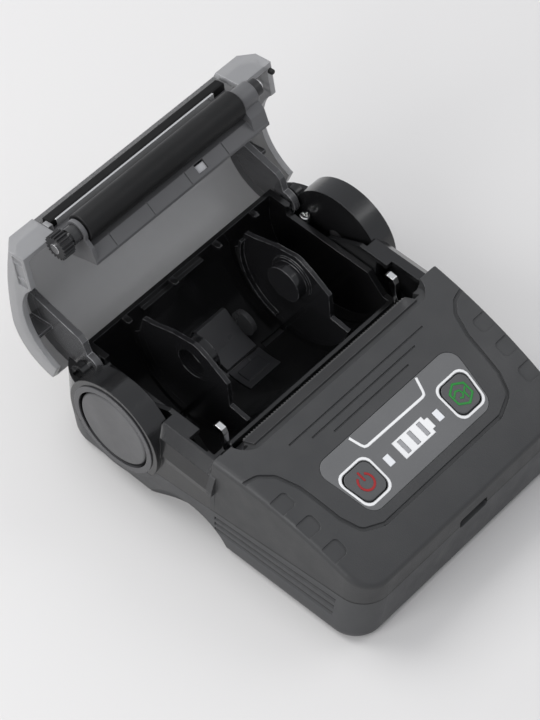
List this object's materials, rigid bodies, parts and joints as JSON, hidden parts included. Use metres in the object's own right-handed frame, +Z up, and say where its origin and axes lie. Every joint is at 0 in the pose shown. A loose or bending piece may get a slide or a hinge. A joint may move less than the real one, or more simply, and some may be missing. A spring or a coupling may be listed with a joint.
{
  "type": "portable_thermal_receipt_printer",
  "caption": "Portable thermal label and receipt printer, charcoal, with its smoky hinged cover open, platen roller, roll bin with sliding guides, toothed tear edge and two keys",
  "frame": {"origin": "Middle of the flat underside of the lower case, on the table.", "axes": "+X to the right of a person facing the keys, +Y to the back where the cover opens, +Z up."},
  "size_m": [0.123, 0.161, 0.0966],
  "materials": {
    "case_lower": "mid-grey moulded, fine matt grain",
    "case_upper": "charcoal moulded, fine matt grain",
    "panel": "dark grey overlay, satin",
    "key_cap": "charcoal key, white outline",
    "light_guide": "white translucent light guide",
    "board": "green circuit board",
    "blade": "toothed edge, same grey as the console",
    "bin_black": "black, glossy",
    "guide_smoke": "smoky black, slightly see-through",
    "sensor_grey": "dark grey, satin",
    "frame_steel": "stamped steel",
    "bright_chrome": "polished nickel plating",
    "steel": "turned steel",
    "brass_gear": "turned brass",
    "head_ceramic": "anodised carrier, glazed ceramic face",
    "gear_black": "black moulded gear",
    "bushing_grey": "light grey moulded",
    "ring_grey": "glossy grey ring",
    "disc_grey": "light grey, matt",
    "cover_smoke": "smoky grey, see-through",
    "carrier_grey": "grey moulded, satin",
    "rubber_black": "ground black rubber",
    "battery_wrap": "black shrink wrap"
  },
  "bodies": {
    "case": {"lower_case": "case_lower", "battery_door": "case_lower", "battery_pack": "battery_wrap", "upper_case": "case_upper", "console_panel": "panel", "switch_board": "board", "battery_light": "light_guide", "status_lights": "light_guide", "tear_blade": "blade", "mechanism_frame": "frame_steel", "drive_motor": "frame_steel", "latch_spring": "steel", "roll_bin": "bin_black", "label_sensor": "sensor_grey", "sensor_plate": "sensor_grey", "stop_knob": "sensor_grey", "main_board": "board", "usb_port": "steel", "drum_ring_left": "ring_grey", "drum_ring_right": "ring_grey", "case_screw_left": "bright_chrome", "case_screw_right": "bright_chrome", "hinge_pin_left": "steel", "hinge_pin_right": "steel"},
    "cover": {"cover_shell": "cover_smoke", "cover_arms": "cover_smoke", "platen_carrier": "carrier_grey", "cover_bar": "gear_black", "cover_strip": "bright_chrome", "cover_bumper": "rubber_black", "platen_bushing_left": "bushing_grey", "platen_bushing_right": "gear_black"},
    "platen": {"platen_rubber": "rubber_black", "platen_shaft": "steel", "platen_gear": "gear_black"},
    "latch": {"latch_shaft": "steel", "latch_hook_left": "bright_chrome", "latch_hook_right": "bright_chrome"},
    "head": {"print_head": "head_ceramic"},
    "power_button": {"power_key": "key_cap"},
    "feed_button": {"feed_key": "key_cap"},
    "left_disc": {"side_disc_left": "disc_grey"},
    "right_disc": {"side_disc_right": "disc_grey"},
    "idler": {"idler_gear": "gear_black"},
    "pinion": {"motor_pinion": "brass_gear"},
    "left_guide": {"guide_left": "guide_smoke"},
    "right_guide": {"guide_right": "guide_smoke"},
    "guide_gear": {"guide_pinion": "gear_black"}
  },
  "joints": [
    {"name": "cover_hinge", "type": "hinge", "parent": "case", "child": "cover", "pos_m": [0, 0.0599, 0.0356], "axis": [1, 0, 0], "range_deg": [0, 100]},
    {"name": "platen_spin", "type": "hinge", "parent": "cover", "child": "platen", "pos_m": [0, 0.07052, 0.0912], "axis": [1, 0, 0], "continuous": true},
    {"name": "latch_turn", "type": "hinge", "parent": "case", "child": "latch", "pos_m": [0, -0.006, 0.0215], "axis": [1, 0, 0], "range_deg": [0, 20]},
    {"name": "head_press", "type": "slide", "parent": "case", "child": "head", "axis": [0, -0.7071, -0.7071], "range_m": [0, 0.0006], "stiffness_N_per_m": 6000, "springref_m": -0.002},
    {"name": "power_press", "type": "slide", "parent": "case", "child": "power_button", "axis": [0, 0.2845, -0.9587], "range_m": [0, 0.0008], "stiffness_N_per_m": 900, "springref_m": -0.0006},
    {"name": "feed_press", "type": "slide", "parent": "case", "child": "feed_button", "axis": [0, 0.2845, -0.9587], "range_m": [0, 0.0008], "stiffness_N_per_m": 900, "springref_m": -0.0006},
    {"name": "left_disc_press", "type": "slide", "parent": "case", "child": "left_disc", "axis": [1, 0, 0], "range_m": [0, 0.002], "stiffness_N_per_m": 900, "springref_m": -0.002},
    {"name": "right_disc_press", "type": "slide", "parent": "case", "child": "right_disc", "axis": [-1, 0, 0], "range_m": [0, 0.002], "stiffness_N_per_m": 900, "springref_m": -0.002},
    {"name": "idler_spin", "type": "hinge", "parent": "case", "child": "idler", "pos_m": [-0.0491, -0.00269, 0.02514], "axis": [1, 0, 0], "continuous": true},
    {"name": "pinion_spin", "type": "hinge", "parent": "case", "child": "pinion", "pos_m": [-0.0491, -0.01353, 0.02667], "axis": [1, 0, 0], "continuous": true},
    {"name": "left_guide_slide", "type": "slide", "parent": "case", "child": "left_guide", "axis": [1, 0, 0], "range_m": [-0.015, 0.0092]},
    {"name": "right_guide_slide", "type": "slide", "parent": "case", "child": "right_guide", "axis": [1, 0, 0], "range_m": [-0.0095, 0.0153]},
    {"name": "guide_gear_spin", "type": "hinge", "parent": "case", "child": "guide_gear", "pos_m": [0, 0.0384, 0.0019], "axis": [0, 0, 1], "continuous": true}
  ],
  "couplings": [
    {"joint": "latch_turn", "follows": "cover_hinge", "ratio": 0.19},
    {"joint": "pinion_spin", "follows": "idler_spin", "ratio": -3},
    {"joint": "right_guide_slide", "follows": "left_guide_slide", "ratio": -1},
    {"joint": "guide_gear_spin", "follows": "left_guide_slide", "rad_per_m": 333.33}
  ]
}
